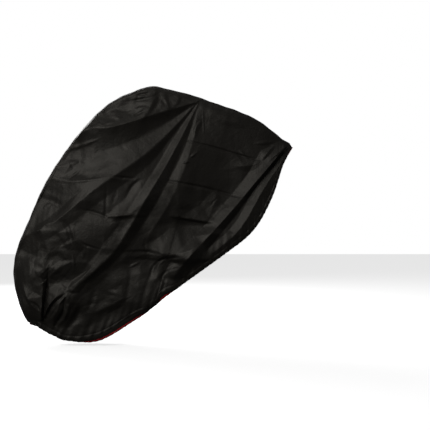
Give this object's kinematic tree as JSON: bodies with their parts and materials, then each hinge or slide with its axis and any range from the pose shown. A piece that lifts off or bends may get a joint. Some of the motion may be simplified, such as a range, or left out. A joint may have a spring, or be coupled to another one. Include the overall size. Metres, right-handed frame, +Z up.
{
  "type": "fitted bicycle cover",
  "caption": "Hollow fitted cover of thin black nylon for a bicycle: side panels sewn along the ridge, drawn in by an elastic hem with red binding.",
  "frame": {"origin": "underside of the ridge seam over the saddle, where the thing inside carries the cover", "axes": "+X towards the front tip, +Z up, +Y across towards the left panel; XZ is the plane of the seam"},
  "size_m": [1.2717, 0.2547, 1.1618],
  "materials": {
    "nylon": "thin black nylon with a soft satin sheen, crumpled and creased from packing",
    "binding": "matt red woven tape"
  },
  "bodies": {
    "root": {"right_panel": "nylon", "left_panel": "nylon", "hem_binding": "binding"}
  },
  "joints": []
}
